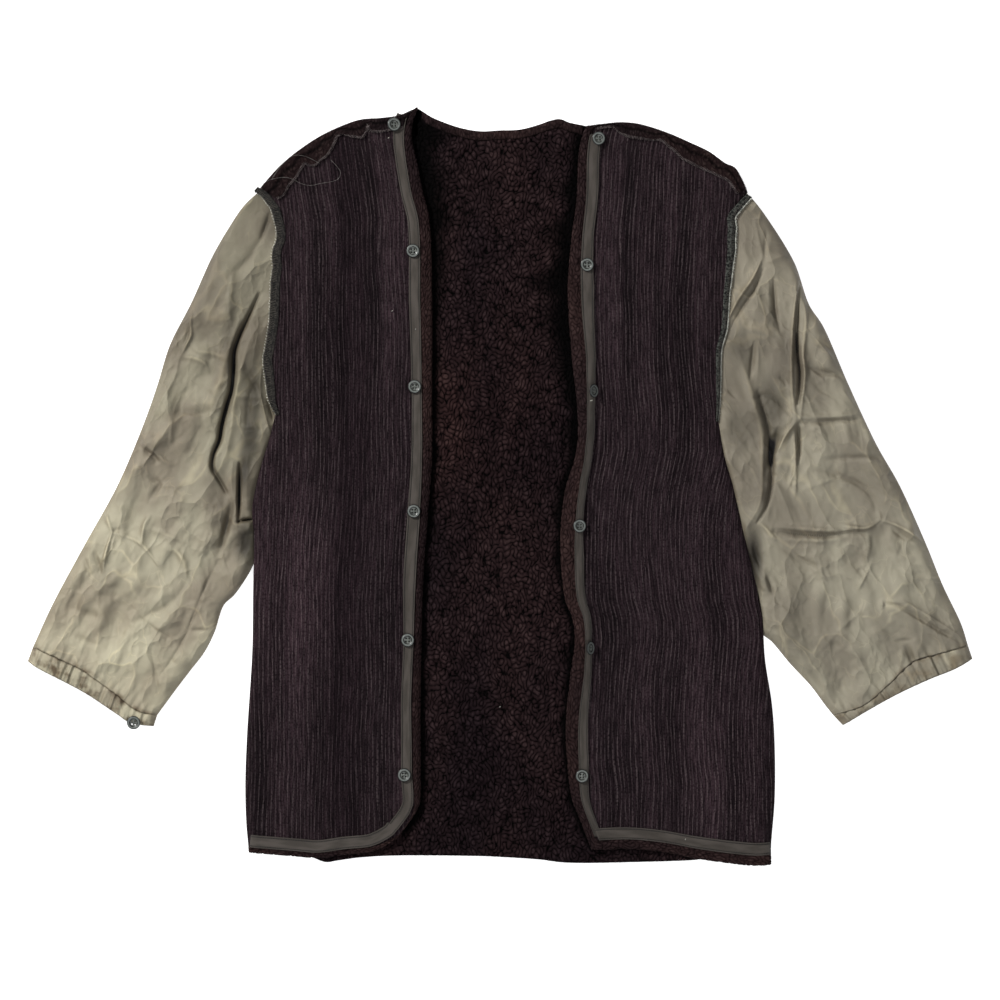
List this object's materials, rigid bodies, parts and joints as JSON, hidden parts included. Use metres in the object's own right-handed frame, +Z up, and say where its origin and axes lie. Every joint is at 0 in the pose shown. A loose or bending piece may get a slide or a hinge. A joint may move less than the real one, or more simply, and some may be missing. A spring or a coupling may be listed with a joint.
{
  "type": "button-in jacket liner",
  "caption": "Open-front pile jacket liner laid flat, knit backing out on the fronts, satin sleeves with gathered casings and tape with buttons down each front edge.",
  "frame": {"origin": "middle of the underside of the whole garment's box, on the surface it lies on", "axes": "+X across the liner from sleeve to sleeve, +Y from the hem to the neck, +Z up off the surface"},
  "size_m": [1.088, 0.8709, 0.0266],
  "materials": {
    "pile": "dark brown curly pile, matt, with deep gaps between the curls",
    "knit_backing": "knit backing, plum brown to charcoal, with fine uneven lighter wales",
    "sleeve_satin": "taupe satin with a soft sheen and sharp creases",
    "tape": "olive grey twill tape, topstitched along both edges",
    "overlock": "dark knit edge bound with pale overlock thread",
    "button": "grey green moulded plastic, four holes, polished rim"
  },
  "bodies": {
    "root": {"back_panel": "pile", "neck_turning": "pile", "front_panel_left": "knit_backing", "front_panel_right": "knit_backing", "tape_left": "tape", "tape_right": "tape", "shoulder_seam_left": "pile", "shoulder_seam_right": "pile", "armhole_seam_left": "overlock", "armhole_seam_right": "overlock", "sleeve_top_left": "sleeve_satin", "sleeve_under_left": "sleeve_satin", "cuff_left": "sleeve_satin", "sleeve_top_right": "sleeve_satin", "sleeve_under_right": "sleeve_satin", "cuff_right": "sleeve_satin", "button_left_1": "button", "button_left_2": "button", "button_left_3": "button", "button_left_4": "button", "button_left_5": "button", "button_left_6": "button", "button_right_1": "button", "button_right_2": "button", "button_right_3": "button", "button_right_4": "button", "button_right_5": "button", "button_right_6": "button", "cuff_button_left": "button"}
  },
  "joints": []
}
